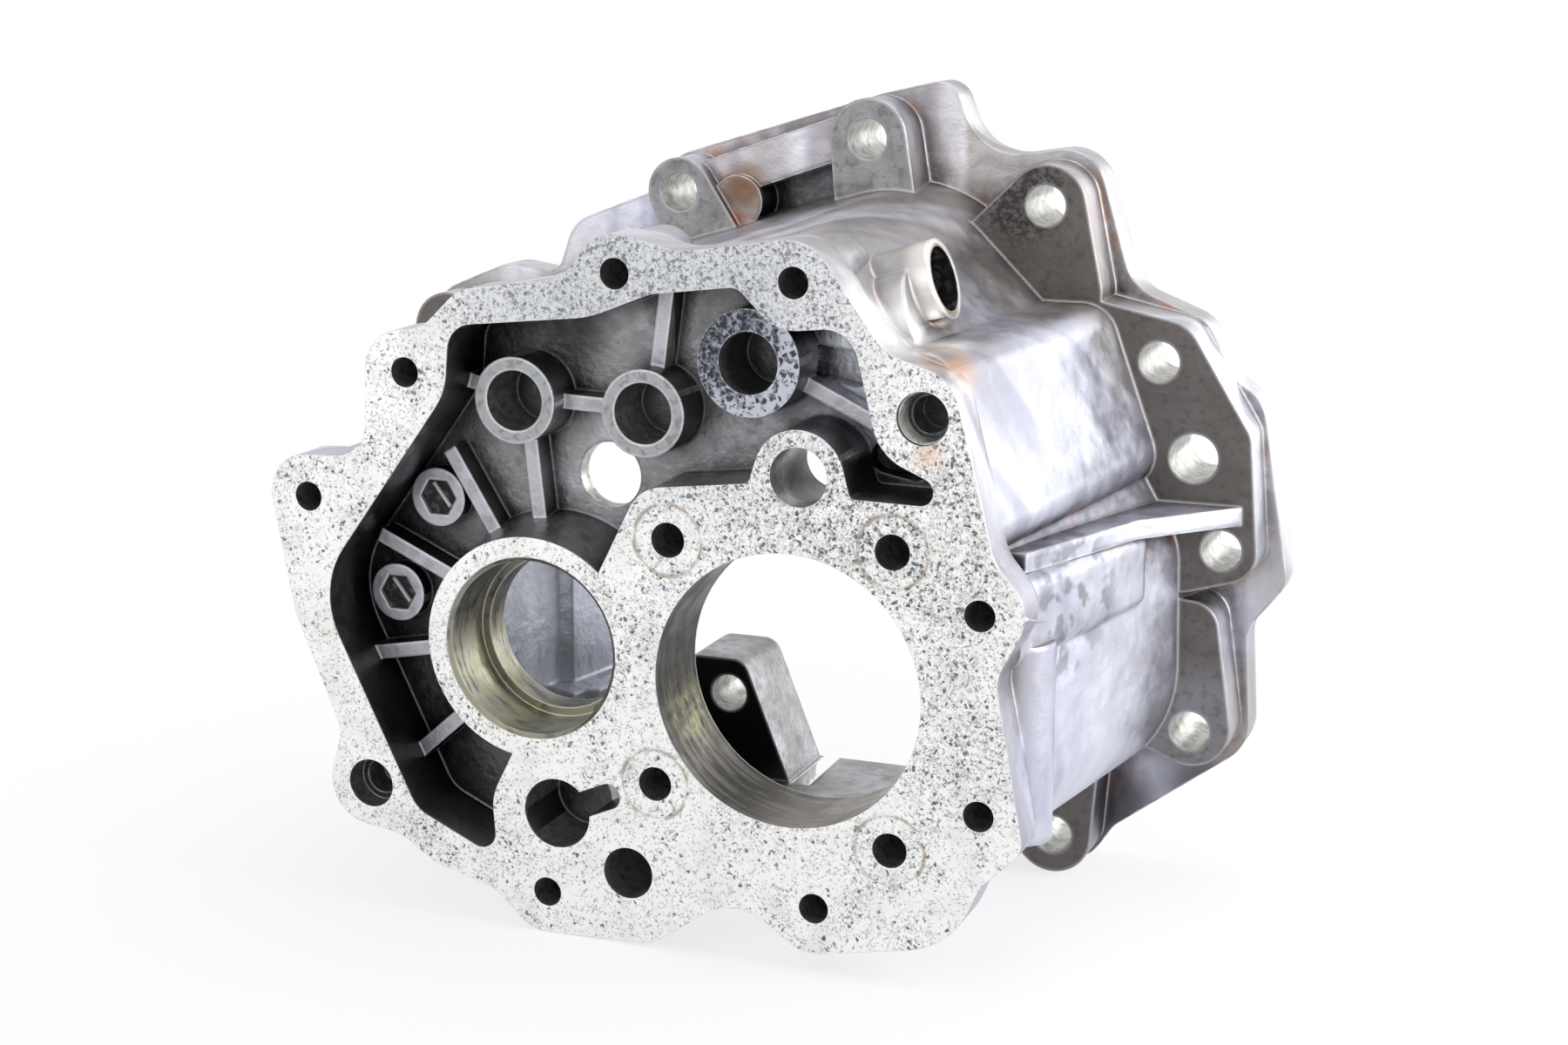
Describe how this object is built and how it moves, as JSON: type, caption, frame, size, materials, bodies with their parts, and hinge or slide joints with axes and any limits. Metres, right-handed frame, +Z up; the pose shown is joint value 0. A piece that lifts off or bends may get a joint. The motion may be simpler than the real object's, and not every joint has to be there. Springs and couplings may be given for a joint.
{
  "type": "gearbox housing",
  "caption": "Cast aluminium gearbox housing with a machined near face, two bearing bores, a ribbed pocket and a flared hollow body ending in a lugged bolt flange.",
  "frame": {"origin": "centre of the main bearing bore on the machined near face", "axes": "+Y along the main bore into the housing, towards the back flange; +Z up; +X to the right seen from the near face"},
  "size_m": [0.2635, 0.116, 0.2215],
  "materials": {
    "cast_aluminium": "satin as-cast skin with pitted machined faces"
  },
  "bodies": {
    "root": {"housing_casting": "cast_aluminium"}
  },
  "joints": []
}
